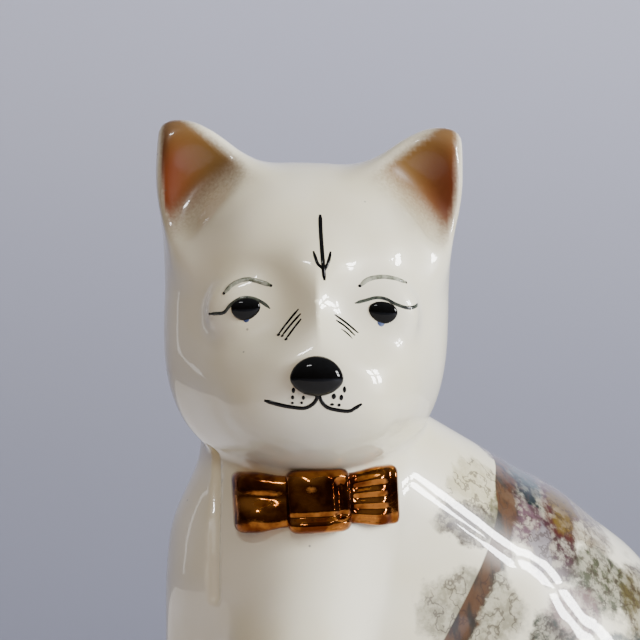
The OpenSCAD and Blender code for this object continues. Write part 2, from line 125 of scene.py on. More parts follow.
def pillow(p, middle, r, n):
    """Rounded box seen from the front, ellipse seen from the side."""
    d = np.abs(p - np.array(middle)) / np.array(r)
    x, y, z = d[..., 0], d[..., 1], d[..., 2]
    s = np.maximum(x ** n + z ** n, 1e-9)
    k0 = np.sqrt(s ** (2 / n) + y * y)
    w = s ** (2 / n - 1)
    slope = np.stack([w * x ** (n - 1) / r[0], y / r[1], w * z ** (n - 1) / r[2]], -1)
    k1 = np.sqrt((slope * slope).sum(-1))
    return k0 * (k0 - 1) / np.maximum(k1, 1e-6)


def round_cone(p, a, b, ra, rb):
    """Two balls joined by the cone that touches both."""
    a, b = np.array(a, float), np.array(b, float)
    length = np.linalg.norm(b - a)
    w = (b - a) / length
    q = p - a
    h = q @ w
    rho = np.sqrt(np.maximum((q * q).sum(-1) - h * h, 0))
    sine = (ra - rb) / length
    t = np.clip((h - rho * sine / math.sqrt(1 - sine * sine)) / length, 0, 1)
    d = q - (w * length) * t[..., None]
    return np.sqrt((d * d).sum(-1)) - ra - (rb - ra) * t


def slim_cone(p, a, b, ra, rb, slim):
    s = np.array([1, slim, 1])
    return slim * round_cone(p / s, a / s, b / s, ra, rb)


def mirrored(p, axis):
    q = p.copy()
    q[..., axis] = np.abs(q[..., axis])
    return q


def to_body(p):
    return np.stack([p @ REARWARDS, p @ LEFTWARDS, p[..., 2]], -1)


def from_body(q):
    q = np.asarray(q, float)
    return q[..., :1] * REARWARDS + q[..., 1:2] * LEFTWARDS + q[..., 2:] * np.array([0, 0, 1.0])


HEAD_AT = from_body([NECK_ALONG, NECK_LEFT, HEAD_UP])
HEAD_AXES = np.array([[math.cos(HEAD_TILT), 0, -math.sin(HEAD_TILT)],
                      [0, 1, 0],
                      [math.sin(HEAD_TILT), 0, math.cos(HEAD_TILT)]])


def to_head(p):
    return (p - HEAD_AT) @ HEAD_AXES.T


def from_head(h):
    return HEAD_AT + np.asarray(h, float) @ HEAD_AXES


def skull_field(h):
    a = mirrored(h, 0)
    f = pillow(h, [0.4, 0, -1.3], [HEAD_W / 2, HEAD_D / 2, HEAD_H / 2], 2.7)
    f = soft_min(f, ellipsoid(h, [1.5, -7, -14], [20, 22, HEAD_H / 2 - 12.7]), 8)
    f = soft_min(f, ellipsoid(h, [0, FACE - MUZZLE_OUT + 13, MUZZLE_UP], [MUZZLE_W / 2, 13, 12]), 14)
    f = soft_min(f, ellipsoid(a, [7.5, FACE - MUZZLE_OUT + 7, MUZZLE_UP - 3.5], [7, 5, 5]), 5)
    f = soft_min(f, ellipsoid(h, [0, FACE + 3, -4], [8, 5.5, 15]), 9)
    socket = ellipsoid(a, [EYE_GAP / 2 - 0.3, FACE - 5.8, EYE_UP + 1], [10, 6, 6.5])
    f = soft_max(f, -socket, 8)
    return soft_min(f, ellipsoid(a, [EYE_GAP / 2, FACE + 4.6, EYE_UP], [7, 3, 5.4]), 5)


def ear_edges(h):
    """Distances outside the ear's outer side and outside its sloping inner side."""
    x, z = np.abs(h[..., 0]), h[..., 2]
    slope = (z - CROWN_UP + 1.2) * math.cos(EAR_SLOPE) - (x - CROWN_W / 2) * math.sin(EAR_SLOPE)
    return x - EAR_X + 0.3 * soft_max(0, CROWN_UP - 8 - z, 6), slope


def ear_field(h):
    a = mirrored(h, 0)
    x, y, z = a[..., 0], a[..., 1], a[..., 2]
    outer, inner = ear_edges(h)
    up_ear = z - CROWN_UP + 5.7
    f = soft_max(soft_max(outer, inner, 7.5), z - EAR_TIP_UP, 5.5)
    f = soft_max(f, (y - 5) * 0.96 + up_ear * 0.28, 8)
    f = soft_max(f, -(y + 10) * 0.98 + up_ear * 0.2, 5)
    f = soft_max(soft_max(f, 6 - z, 6), 8 - x, 6)
    return soft_max(f, -ellipsoid(a, [EAR_X - 9, -11.5, CROWN_UP - 5.7], [8.5, 5.5, 13]), 3)


def trunk_field(b):
    a = mirrored(b, 1)
    nape, back = np.array([-22, 0, CHIN_UP - 6]), np.array([RUMP_ALONG + 2, 0, 71])
    chest, belly = np.array([-32, -3, CHIN_UP - 24]), np.array([RUMP_ALONG - 22, 0, 62])
    withers = np.array([16, 0, 82.2])
    f = soft_min(slim_cone(b, nape, withers, NAPE_R, WITHERS_R, 0.86),
                 slim_cone(b, withers, back, WITHERS_R, BACK_R, 0.86), 1.5)
    f = soft_min(f, ellipsoid(b, [RUMP_ALONG, 0, 36], [RUMP_LEN / 2, RUMP_W / 2, 60]), 14)
    f = soft_min(f, slim_cone(b, chest, belly, CHEST_R, CHEST_R + 4, 0.95), 10)
    f = soft_min(f, round_cone(b, [-26, -8, CHIN_UP - 38], [-26, -8, CHIN_UP + 4], 20.5, 19.8), 8)
    return soft_min(f, ellipsoid(a, [RUMP_ALONG - 6, 20, 36], [31, 18, 37]), 5)


def hind_paw_field(b):
    # From a heel under the haunch to toes that stay clear of the foreleg.
    middle, half = (TOE_ALONG + HEEL_ALONG) / 2, (HEEL_ALONG - TOE_ALONG) / 2
    return ellipsoid(mirrored(b, 1), [middle, 22, 5], [half, 9, 8.5])


def leg_field(b, side):
    """A foreleg and the shoulder above it. side is 1 for the left leg and -1 for the right."""
    ankle, elbow = [ANKLE_ALONG, side * STANCE / 2, 8], [ELBOW_ALONG, side * STANCE / 2, 60]
    top = [-28.5, 2, CHIN_UP] if side > 0 else [-33, -11, CHIN_UP - 18]
    f = round_cone(b, ankle, elbow, ANKLE_R, ELBOW_R)
    f = soft_min(f, round_cone(b, elbow, top, ELBOW_R, THROAT_R if side > 0 else THROAT_R - 1.6), 2)
    paw = [ANKLE_ALONG - PAW_LEN / 4, side * (STANCE / 2 + 0.5), 6]
    return soft_min(f, ellipsoid(b, paw, [PAW_LEN / 2, 10.5, 8.5]), 5)


def tail_field(b):
    reach_along, reach_left = (TAIL_BACK - TAIL_FRONT) / 2, RUMP_W / 2 + 8
    d = b - np.array([(TAIL_BACK + TAIL_FRONT) / 2, 0, 0])
    angle = np.degrees(np.arctan2(d[..., 1] / reach_left, d[..., 0] / reach_along))
    angle = np.clip(angle, TAIL_START, TAIL_WRAP)
    s = (angle - TAIL_START) / (TAIL_WRAP - TAIL_START)
    radius = TAIL_R + (TIP_R - TAIL_R) * s
    curl = 4 * np.maximum(s - 0.75, 0)
    turn = np.radians(angle)
    line = np.stack([reach_along * np.cos(turn), reach_left * np.sin(turn),
                     0.86 * radius + 5 * curl * curl], -1)
    return np.sqrt(((d - line) ** 2).sum(-1)) - radius


def shapes_at(p):
    """Every shape's field, and the whole figure's."""
    b, h = to_body(p), to_head(p)
    f = {"trunk": trunk_field(b), "left_leg": leg_field(b, 1), "right_leg": leg_field(b, -1),
         "paw": hind_paw_field(b), "tail": tail_field(b),
         "skull": skull_field(h), "ear": ear_field(h)}
    f["body"] = soft_min(soft_min(f["trunk"], f["right_leg"], 6), f["left_leg"], 3)
    f["head"] = soft_min(f["skull"], f["ear"], 5)
    whole = soft_min(soft_min(f["body"], f["paw"], 4), f["tail"], 2.5)
    f["whole"] = soft_min(whole, f["head"], 1.6)
    return f


def tooled_line(p):
    """The line that the modeller's tool left beside the throat."""
    points = [np.array(q, float) for q in TOOLED_LINE]
    lines = [round_cone(p, a, b, TOOL_R, TOOL_R * 0.96) for a, b in zip(points, points[1:])]
    return np.minimum.reduce(lines)


def figure_field(p):
    return np.maximum(soft_max(shapes_at(p)["whole"], -tooled_line(p), 1.2), -p[..., 2])


def head_only(p):
    h = to_head(p)
    return soft_min(skull_field(h), ear_field(h), 5)


def throat_field(p):
    b = to_body(p)
    return soft_min(soft_min(trunk_field(b), leg_field(b, -1), 6), leg_field(b, 1), 3)


def ray_out(field, start, way, reach):
    """Where a ray from inside a field leaves it."""
    near, far = 0.0, reach
    for _ in range(24):
        middle = (near + far) / 2
        if field((start + way * middle)[None])[0] > 0:
            far = middle
        else:
            near = middle
    return start + way * near


TOOL_R = 1.3
TOOLED_LINE = [ray_out(throat_field, np.array([HEAD_AT[0] - across, HEAD_AT[1] + 5, CHIN_UP + up]),
                       np.array([0, -1.0, 0]), 60)
               for across, up in ((18.6, 4), (18.8, -3), (19.2, -10), (19.6, -18), (19.6, -26))]

# ---- From a field to a skin ----

CORNERS = [(i, j, k) for i in (0, 1) for j in (0, 1) for k in (0, 1)]
EDGES = [(a, b) for a in CORNERS for b in CORNERS
         if sum(b) - sum(a) == 1 and all(x <= y for x, y in zip(a, b))]


def in_chunks(field, points, size=200000):
    parts = [field(points[i:i + size]) for i in range(0, len(points), size)]
    return np.concatenate(parts)


def sampled(field, low, shape, cell):
    """The field on a grid: exact near the surface, and coarse away from it."""
    step = 6
    coarse_shape = [n // step + 2 for n in shape]
    axes = [low[i] + cell * step * (np.arange(coarse_shape[i]) + 0.5) - cell / 2 for i in range(3)]
    coarse = in_chunks(field, np.stack(np.meshgrid(*axes, indexing="ij"), -1).reshape(-1, 3))
    coarse = coarse.reshape(coarse_shape)
    values = coarse.repeat(step, 0).repeat(step, 1).repeat(step, 2)[:shape[0], :shape[1], :shape[2]].copy()
    near = np.abs(values) < cell * step * 1.3
    index = np.argwhere(near)
    values[near] = in_chunks(field, low + index * cell)
    return values


def net(field, low, high, cell):
    """A closed skin of quads round the field's inside, its points settled on the surface."""
    low = np.array(low, float)
    shape = [int(math.ceil((high[i] - low[i]) / cell)) + 1 for i in range(3)]
    v = sampled(field, low, shape, cell)
    inside = v < 0
    n = [s - 1 for s in shape]

    def corner(grid, c):
        return grid[c[0]:c[0] + n[0], c[1]:c[1] + n[1], c[2]:c[2] + n[2]]

    count = sum(corner(inside, c).astype(np.int8) for c in CORNERS)
    active = (count > 0) & (count < 8)
    cells = np.argwhere(active)
    number = np.full(n, -1)
    number[active] = np.arange(len(cells))
    total, hits = np.zeros((len(cells), 3)), np.zeros(len(cells))
    for a, b in EDGES:
        va, vb = corner(v, a)[active], corner(v, b)[active]
        cross = (va < 0) != (vb < 0)
        t = va[cross] / (va[cross] - vb[cross])
        total[cross] += np.array(a) + (np.array(b) - np.array(a)) * t[:, None]
        hits[cross] += 1
    points = low + (cells + total / hits[:, None]) * cell
    quads = []
    for axis in range(3):
        one, two = (axis + 1) % 3, (axis + 2) % 3
        lower = [slice(1, s - 1) for s in shape]
        upper = list(lower)
        lower[axis], upper[axis] = slice(0, shape[axis] - 1), slice(1, shape[axis])
        first, second = inside[tuple(lower)], inside[tuple(upper)]
        at = np.argwhere(first != second)
        outward = first[tuple(at.T)]
        base = at.copy()
        base[:, one] += 1
        base[:, two] += 1
        around = []
        for d1, d2 in ((0, 0), (-1, 0), (-1, -1), (0, -1)):
            c = base.copy()
            c[:, one] += d1
            c[:, two] += d2
            around.append(number[tuple(c.T)])
        around = np.stack(around, -1)
        quads.append(np.where(outward[:, None], around, around[:, ::-1]))
    return settle(points, field, 4), np.concatenate(quads)


def slopes(points, field, step=0.05):
    """The field's gradient."""
    g = [in_chunks(field, points + step * e) - in_chunks(field, points - step * e) for e in np.eye(3)]
    return np.stack(g, -1) / (2 * step)


def settle(points, field, rounds):
    for _ in range(rounds):
        g = slopes(points, field)
        f = in_chunks(field, points)
        move = f[:, None] * g / np.maximum((g * g).sum(-1), 0.2)[:, None]
        points = points - np.clip(move, -0.7, 0.7)
    return points


def outward(points, field):
    g = slopes(points, field)
    return g / np.linalg.norm(g, axis=-1)[:, None]


# ---- Nodes of a material ----


def sheet_colour(code):
    """Linear red, green, blue and alpha from a sheet's hex colour."""
    parts = [int(code[i:i + 2], 16) / 255 for i in (1, 3, 5)]
    return tuple(c / 12.92 if c <= 0.04045 else ((c + 0.055) / 1.055) ** 2.4 for c in parts) + (1,)


def add(tree, kind, settings=None, **inputs):
    """A node with its settings, and with each input set or linked by name or by number."""
    made = tree.nodes.new(kind)
    for name, value in (settings or {}).items():
        setattr(made, name, value)
    for name, value in inputs.items():
        key = int(name[1:]) if name[0] == "_" and name[1:].isdigit() else name.replace("_", " ")
        socket = made.inputs[key]
        if isinstance(value, bpy.types.NodeSocket):
            tree.links.new(value, socket)
        else:
            socket.default_value = value
    return made


def math_node(tree, operation, a, b=0.0, c=0.0):
    return add(tree, "ShaderNodeMath", {"operation": operation}, _0=a, _1=b, _2=c).outputs[0]


def new_material(name, **surface):
    material = bpy.data.materials.new(name)
    material.use_nodes = True
    tree = material.node_tree
    tree.nodes.clear()
    shader = add(tree, "ShaderNodeBsdfPrincipled", **surface)
    out = add(tree, "ShaderNodeOutputMaterial")
    tree.links.new(shader.outputs[0], out.inputs[0])
    return material, tree, shader


def mix(tree, factor, a, b, blend="MIX"):
    made = add(tree, "ShaderNodeMix", {"data_type": "RGBA", "blend_type": blend})
    for socket, value in zip((made.inputs[0], made.inputs[6], made.inputs[7]), (factor, a, b)):
        if isinstance(value, bpy.types.NodeSocket):
            tree.links.new(value, socket)
        else:
            socket.default_value = value
    return made.outputs[2]


def ramp(tree, value, low, high):
    """0 below low, 1 above high, smooth between."""
    return add(tree, "ShaderNodeMapRange", {"interpolation_type": "SMOOTHSTEP"},
               _0=value, _1=low, _2=high).outputs[0]


def noise(tree, where, grain, detail=2.0, rough=0.5):
    """Noise whose lumps are about grain millimetres across."""
    return add(tree, "ShaderNodeTexNoise", Vector=where, Scale=1 / (grain * MM), Detail=detail,
               Roughness=rough).outputs[0]


def paint_layer(tree, name):
    """A paint mask that the skin carries at its points."""
    return add(tree, "ShaderNodeAttribute", {"attribute_name": name}).outputs["Fac"]


def bump(tree, height, depth):
    """Relief of so many millimetres."""
    return add(tree, "ShaderNodeBump", Height=height, Strength=1.0, Distance=depth * MM).outputs[0]


# The print's patches on the flank: along the body, up, half lengths both ways, lean and colour.
# They make a garden: a tree's trunk, leaves behind it, cloths and blossoms in front.
PRINT_PATCHES = [
    (1, 112, 9, 7, 0, "#8d8450", 0.5), (-1, 106, 11, 4.4, -8, "#392c13", 1.0),
    (-4, 106.5, 5, 2.5, 0, "#2d1916", 0.9), (5, 107.5, 5, 3, 20, "#454313", 0.8),
    (-4, 88, 12, 9, 0, "#423f1c", 0.7), (18, 118, 8, 5, -25, "#4b3d44", 0.9),
    (26, 112, 12, 5, -35, "#42353f", 0.9), (33, 107, 9, 9, -40, "#716347", 0.9),
    (18, 114, 5, 4.2, -30, "#2b4444", 1.0), (15.5, 110.5, 6.4, 3.6, -30, "#0d1c1b", 1.0),
    (13.5, 104.5, 6, 6, -40, "#5c424a", 1.0), (18, 99, 6, 8, -35, "#36161d", 1.0),
    (14, 100, 3, 6, -40, "#80797a", 1.0),
    (25, 107, 5.2, 6.6, -35, "#401107", 1.0), (25.4, 107, 3.7, 5, -35, "#604c10", 1.0),
    (31, 92, 11, 7, -20, "#252e0e", 0.95), (42, 84, 8, 12, 10, "#4e441c", 0.9),
    (20, 86, 8, 6, 15, "#664644", 0.95), (13, 80, 6, 7, 0, "#142116", 0.95),
    (31, 76, 10, 6, 0, "#2b3e3d", 0.9), (20, 68, 18, 6, 5, "#41300c", 0.9),
    (36, 64, 12, 5, 8, "#23260c", 0.9), (4, 72, 9, 6, 0, "#4e3e18", 0.75)]
TRUNK_FOOT, TRUNK_TOP, TRUNK_LEAN, TRUNK_AT_TOP = 66, 120, 0.6, 12.4
TRUNK_BEND_FROM = 108
TRUNK_BEND = (7.2, -6.0, -0.3)


def flank_print(tree, where, glaze):
    """A transfer print on the left flank: soft painted patches with worn, feathered edges."""
    turned = add(tree, "ShaderNodeMapping", {"vector_type": "POINT"}, Vector=where,
                 Rotation=(0, 0, -BODY_TURN), Scale=(1 / MM, 1 / MM, 1 / MM)).outputs[0]
    wander = add(tree, "ShaderNodeTexNoise", Vector=where, Scale=1 / (5 * MM), Detail=4.0,
                 Roughness=0.6).outputs["Color"]
    wander = add(tree, "ShaderNodeVectorMath", {"operation": "SUBTRACT"}, _0=wander, _1=(0.5, 0.5, 0.5))
    wander = add(tree, "ShaderNodeVectorMath", {"operation": "MULTIPLY_ADD"},
                 _0=wander.outputs[0], _1=(9, 0, 9), _2=turned).outputs[0]
    split = add(tree, "ShaderNodeSeparateXYZ", Vector=wander)
    along, up = split.outputs[0], split.outputs[2]
    flank = math_node(tree, "MULTIPLY", add(tree, "ShaderNodeSeparateXYZ", Vector=turned).outputs[1], -1.0)
    on_left = ramp(tree, flank, 3, 8)
    dabs = ramp(tree, noise(tree, where, 2.4, 4, 0.65), 0.38, 0.6)
    colour, painted = glaze, 0.0
    for x, z, long, tall, lean, code, strength in PRINT_PATCHES:
        c, s = math.cos(math.radians(lean)), math.sin(math.radians(lean))
        a = math_node(tree, "ADD", math_node(tree, "MULTIPLY_ADD", along, c / long, -x * c / long),
                      math_node(tree, "MULTIPLY_ADD", up, s / long, -z * s / long))
        b = math_node(tree, "ADD", math_node(tree, "MULTIPLY_ADD", along, -s / tall, x * s / tall),
                      math_node(tree, "MULTIPLY_ADD", up, c / tall, -z * c / tall))
        reach = math_node(tree, "ADD", math_node(tree, "MULTIPLY", a, a), math_node(tree, "MULTIPLY", b, b))
        cover = math_node(tree, "MULTIPLY", ramp(tree, reach, 1.25, 0.6), on_left)
        cover = math_node(tree, "MULTIPLY", cover, math_node(tree, "MULTIPLY_ADD", dabs, 0.35, 0.65))
        painted = math_node(tree, "MAXIMUM", painted, cover)
        colour = mix(tree, math_node(tree, "MULTIPLY", cover, strength), colour, sheet_colour(code))
    # The trunk stands between a sharp front edge and a ragged back edge.
    edge = add(tree, "ShaderNodeSeparateXYZ", Vector=turned)
    at_ground = TRUNK_AT_TOP - TRUNK_TOP * TRUNK_LEAN
    leaning = math_node(tree, "MULTIPLY_ADD", edge.outputs[2], TRUNK_LEAN, at_ground)
    ahead = math_node(tree, "SUBTRACT", edge.outputs[0], leaning)
    # Near the top, the front edge bends to stand upright on the curved shoulder.
    share = ramp(tree, edge.outputs[2], TRUNK_BEND_FROM, TRUNK_TOP)
    slope = math_node(tree, "MULTIPLY_ADD", share, TRUNK_BEND[0], TRUNK_BEND[1])
    bend = math_node(tree, "MULTIPLY_ADD", share, slope, TRUNK_BEND[2])
    ahead = math_node(tree, "SUBTRACT", ahead, bend)
    ragged = math_node(tree, "SUBTRACT", along,
                       math_node(tree, "MULTIPLY_ADD", up, TRUNK_LEAN, at_ground))
    high = math_node(tree, "MULTIPLY", ramp(tree, edge.outputs[2], TRUNK_FOOT, TRUNK_FOOT + 6),
                     ramp(tree, edge.outputs[2], TRUNK_TOP + 1, TRUNK_TOP - 1))
    band = math_node(tree, "MULTIPLY", ramp(tree, ahead, -0.25, 0.25), ramp(tree, ragged, 6.5, 4.2))
    band = math_node(tree, "MULTIPLY", math_node(tree, "MULTIPLY", band, high), on_left)
    stretch = add(tree, "ShaderNodeMapping", {"vector_type": "POINT"}, Vector=where,
                  Scale=(1, 1, 0.25)).outputs[0]
    bark = mix(tree, ramp(tree, noise(tree, stretch, 2.2, 3), 0.38, 0.6),
               sheet_colour("#0e0501"), sheet_colour("#4a2a0a"))
    colour = mix(tree, math_node(tree, "MULTIPLY", band, 0.95), colour, bark)
    # Fine brown pen lines wander through the painted part.
    drawn = math_node(tree, "ABSOLUTE", math_node(tree, "SUBTRACT", noise(tree, where, 5, 3, 0.6), 0.5))
    pen = math_node(tree, "MULTIPLY", ramp(tree, drawn, 0.028, 0.008), ramp(tree, painted, 0.3, 0.8))
    return mix(tree, math_node(tree, "MULTIPLY", pen, 0.6), colour, sheet_colour("#33221a"))


def ivory_glaze(name, printed):
    """Glossy ivory glaze over earthenware: milky and a little cloudy, with the odd dark pinhole.

    The ears are sprayed orange-brown under it, and painted shade, grey-green, darkens the hollows at their
    roots and beside the nose bridge.
    """
    material, tree, shader = new_material(
        name, Roughness=0.32, IOR=1.5, Coat_Weight=1.0, Coat_Roughness=0.02, Coat_IOR=1.5)
    where = add(tree, "ShaderNodeTexCoord").outputs["Object"]
    cloud = ramp(tree, noise(tree, where, 22), 0.35, 0.65)
    colour = mix(tree, cloud, sheet_colour("#f3edd2"), sheet_colour("#ece4c2"))
    if printed:
        colour = flank_print(tree, where, colour)
    # Painted shade: grey-green darkening in the hollows under the ears and beside the nose bridge, where
    # shade falls.
    recess_shade = math_node(tree, "MULTIPLY", paint_layer(tree, "recess_shade"),
                     math_node(tree, "MULTIPLY_ADD", noise(tree, where, 6), 0.8, 0.5))
    colour = mix(tree, recess_shade, colour, sheet_colour("#8c7f60"))
    speckled = math_node(tree, "MULTIPLY_ADD", noise(tree, where, 0.6, 2), 0.5, -0.25)
    brown = mix(tree, paint_layer(tree, "ear_deep"), sheet_colour("#74552a"), sheet_colour("#672f10"))
    sprayed = math_node(tree, "ADD", paint_layer(tree, "ear"),
                        math_node(tree, "MULTIPLY", speckled, paint_layer(tree, "ear_edge")))
    colour = mix(tree, sprayed, colour, brown)
    # A pinhole is a fraction of a millimetre across, and there is one every few centimetres.
    pits = add(tree, "ShaderNodeTexVoronoi", Vector=where, Scale=1 / (9 * MM),
               Randomness=1.0).outputs["Distance"]
    colour = mix(tree, math_node(tree, "MULTIPLY", ramp(tree, pits, 0.034, 0.022), 0.55), colour,
                 sheet_colour("#4b4334"))
    tree.links.new(colour, shader.inputs["Base Color"])
    # The glaze pooled unevenly, so its reflections waver.
    waver = add(tree, "ShaderNodeBump", Height=noise(tree, where, 9, 1), Strength=1.0,
                Distance=0.05 * MM).outputs[0]
    tree.links.new(waver, shader.inputs["Normal"])
    tree.links.new(waver, shader.inputs["Coat Normal"])
    return material


def black_enamel():
    """Thick black enamel: deep and wet looking, on the nose, the pupils and the painted lines."""
    material, tree, shader = new_material(
        "black_enamel", Roughness=0.05, IOR=1.32)
    where = add(tree, "ShaderNodeTexCoord").outputs["Object"]
    colour = mix(tree, noise(tree, where, 1.5), sheet_colour("#050505"), sheet_colour("#0b0c0d"))
    tree.links.new(colour, shader.inputs["Base Color"])
    return material


def thin_enamel(name, thin, thick):
    """Enamel brushed on so thinly that the ivory shows through where the brush ran dry."""
    material, tree, shader = new_material(
        name, Roughness=0.12, IOR=1.5)
    where = add(tree, "ShaderNodeTexCoord").outputs["Object"]
    dry = ramp(tree, noise(tree, where, 1.8, 3, 0.6), 0.35, 0.65)
    tree.links.new(mix(tree, dry, sheet_colour(thick), sheet_colour(thin)), shader.inputs["Base Color"])
    return material


def gold_lustre():
    """Fired gold lustre: mirror bright on the crests, amber and brown where it lies thin."""
    material, tree, shader = new_material("gold_lustre", Metallic=1.0)
    where = add(tree, "ShaderNodeTexCoord").outputs["Object"]
    thin = ramp(tree, noise(tree, where, 5, 3), 0.4, 0.62)
    colour = mix(tree, thin, sheet_colour("#a3672f"), sheet_colour("#5c2b0f"))
    worn = ramp(tree, noise(tree, where, 0.8, 4, 0.7), 0.6, 0.72)
    colour = mix(tree, math_node(tree, "MULTIPLY", worn, 0.5), colour, sheet_colour("#4a3216"))
    tree.links.new(colour, shader.inputs["Base Color"])
    tree.links.new(math_node(tree, "MULTIPLY_ADD", worn, 0.16, 0.1), shader.inputs["Roughness"])
    tree.links.new(bump(tree, noise(tree, where, 1.1, 3), 0.06), shader.inputs["Normal"])
    return material


def bare_clay():
    """Biscuit clay: matt and chalky, with a fine grit, on the unglazed slab under the figure."""
    material, tree, shader = new_material("bare_clay", Roughness=0.88)
    where = add(tree, "ShaderNodeTexCoord").outputs["Object"]
    colour = mix(tree, noise(tree, where, 9, 5), sheet_colour("#cfc2a6"), sheet_colour("#b8a889"))
    grit = noise(tree, where, 0.5, 3)
    colour = mix(tree, ramp(tree, grit, 0.62, 0.7), colour, sheet_colour("#8f7f62"))
    tree.links.new(colour, shader.inputs["Base Color"])
    tree.links.new(bump(tree, grit, 0.12), shader.inputs["Normal"])
    return material


GLAZE, PRINTED_GLAZE = ivory_glaze("ivory_glaze", False), ivory_glaze("printed_ivory_glaze", True)
ENAMEL, GOLD, CLAY = black_enamel(), gold_lustre(), bare_clay()
BROW_ENAMEL = thin_enamel("olive_brow_enamel", "#a5a692", "#5b604d")
LID_ENAMEL = thin_enamel("dark_lid_enamel", "#50564a", "#15181a")
COBALT = thin_enamel("cobalt_bleed_enamel", "#7f8db0", "#38466e")

# ---- Pieces ----


def make_piece(name, points, faces, material, node, normals=None):
    """A mesh from points in millimetres, riding on the figure in place of its solid."""
    mesh = bpy.data.meshes.new(name)
    mesh.from_pydata((points * MM).tolist(), [], [tuple(f) for f in np.asarray(faces).tolist()])
    mesh.polygons.foreach_set("use_smooth", [True] * len(mesh.polygons))
    mesh.materials.append(material)
    if normals is not None:
        mesh.normals_split_custom_set_from_vertices(normals.tolist())
    mesh.validate()
    piece = bpy.data.objects.new(name, mesh)
    bpy.context.scene.collection.objects.link(piece)
    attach(piece, "root")
    for one in node:
        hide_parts(one)
    return piece


OWNERS = ["torso", "head", "left_ear", "right_ear", "left_foreleg", "right_foreleg",
          "left_hind_paw", "right_hind_paw", "tail"]


def claims(p):
    """How far each piece of the figure is from owning a point: the least one owns it."""
    f = shapes_at(p)
    b, h = to_body(p), to_head(p)
    far = 50.0

    def sided(value, way):
        return value + far * (way < 0)

    leg = {s: f["body"] + np.maximum(b[..., 2] - ELBOW_CUT, f[n] - f["trunk"])
           for s, n in ((1, "left_leg"), (-1, "right_leg"))}
    return np.stack([f["body"], f["skull"], sided(f["ear"], h[..., 0]), sided(f["ear"], -h[..., 0]),
                     sided(leg[1], b[..., 1]), sided(leg[-1], -b[..., 1]),
                     sided(f["paw"], b[..., 1]), sided(f["paw"], -b[..., 1]), f["tail"]], -1)


def straighten_seams(points, quads, owner):
    """Moves the points between two pieces on to the line where they meet."""
    first = np.full(len(points), 99)
    last = np.full(len(points), -1)
    for c in range(4):
        np.minimum.at(first, quads[:, c], owner)
        np.maximum.at(last, quads[:, c], owner)
    seam = np.nonzero(first != last)[0]
    a, b = first[seam], last[seam]
    rows = np.arange(len(seam))

    def split(p):
        c = claims(p)
        return c[rows, a] - c[rows, b]

    moved = points[seam]
    for _ in range(3):
        normal = outward(moved, figure_field)
        step = 0.05
        g = np.stack([split(moved + step * e) - split(moved - step * e) for e in np.eye(3)], -1)
        g = g / (2 * step)
        g -= normal * (g * normal).sum(-1)[:, None]
        move = split(moved)[:, None] * g / np.maximum((g * g).sum(-1), 0.05)[:, None]
        length = np.linalg.norm(move, axis=-1)
        moved = moved - move * np.minimum(1, 0.5 / np.maximum(length, 1e-9))[:, None]
        moved = settle(moved, figure_field, 1)
    points[seam] = moved
    return points


def shell(points, quads, normals, wall):
    """A closed shell: the outer skin, the same skin a wall's thickness in, and the rim between."""
    used = np.unique(quads)
    renumber = np.zeros(len(points), int)
    renumber[used] = np.arange(len(used))
    outer = renumber[quads]
    n = len(used)
    inner = outer[:, ::-1] + n
    edges = np.stack([outer, np.roll(outer, -1, 1)], -1).reshape(-1, 2)
    key = edges[:, 0] * n + edges[:, 1]
    back = edges[:, 1] * n + edges[:, 0]
    rim = edges[~np.isin(key, back)]
    sides = np.stack([rim[:, 1], rim[:, 0], rim[:, 0] + n, rim[:, 1] + n], -1)
    p, m = points[used], normals[used]
    skin = np.concatenate([outer, inner, sides])
    return np.concatenate([p, p - m * wall]), skin, np.concatenate([m, -m]), used


def rise(v, low, high):
    """0 before low, 1 past high, smooth between."""
    t = np.clip((v - low) / (high - low), 0, 1)
    return t * t * (3 - 2 * t)


def paint_layers(points, normals):
    """Where the brown of the ears lies, where it is deepest and thinnest, and the painted shade in the
    hollows at their roots and beside the nose bridge.
    """
    h = to_head(points)
    x, z = np.abs(h[:, 0]), h[:, 2]
    outer, inner = ear_edges(h)
    inside = -soft_max(outer, inner, 8)
    front = rise(-normals[:, 1], -0.1, 0.35)
    # The spray ends along a slanting line from the crown down to the outer rim.
    root = np.where(h[:, 0] < 0, 18, 17.5)
    over_root = (x - root) * 0.66 + (z - 30) * 0.75
    rims = rise(-inner, 0.6, 3.6) * rise(-outer, 0, np.where(h[:, 0] < 0, 1.4, 2.4))
    ear = rims * rise(inside, 0.0, 1.4) * rise(over_root, -8, 0.5) * front
    deep = rise(-outer, 13, 2) * rise(over_root, -8, 2) * rise(z, CROWN_UP + EAR_H, CROWN_UP - 3)
    # Painted shade: soft grey-green in the hollows at the ear roots, with a little beside the nose bridge.
    recess_shade = 0.75 * np.exp(-((x - 24) / 8) ** 2 - ((z - 21) / 6.5) ** 2)
    recess_shade += 0.3 * np.exp(-((x - 15) / 8) ** 2 - ((z - 28) / 4) ** 2)
    recess_shade += 0.1 * np.exp(-((x - 9) / 7) ** 2 - ((z + 8) / 6) ** 2)
    return {"ear": ear, "ear_deep": deep, "ear_edge": 4 * ear * (1 - ear), "recess_shade": recess_shade * front * (1 - ear)}


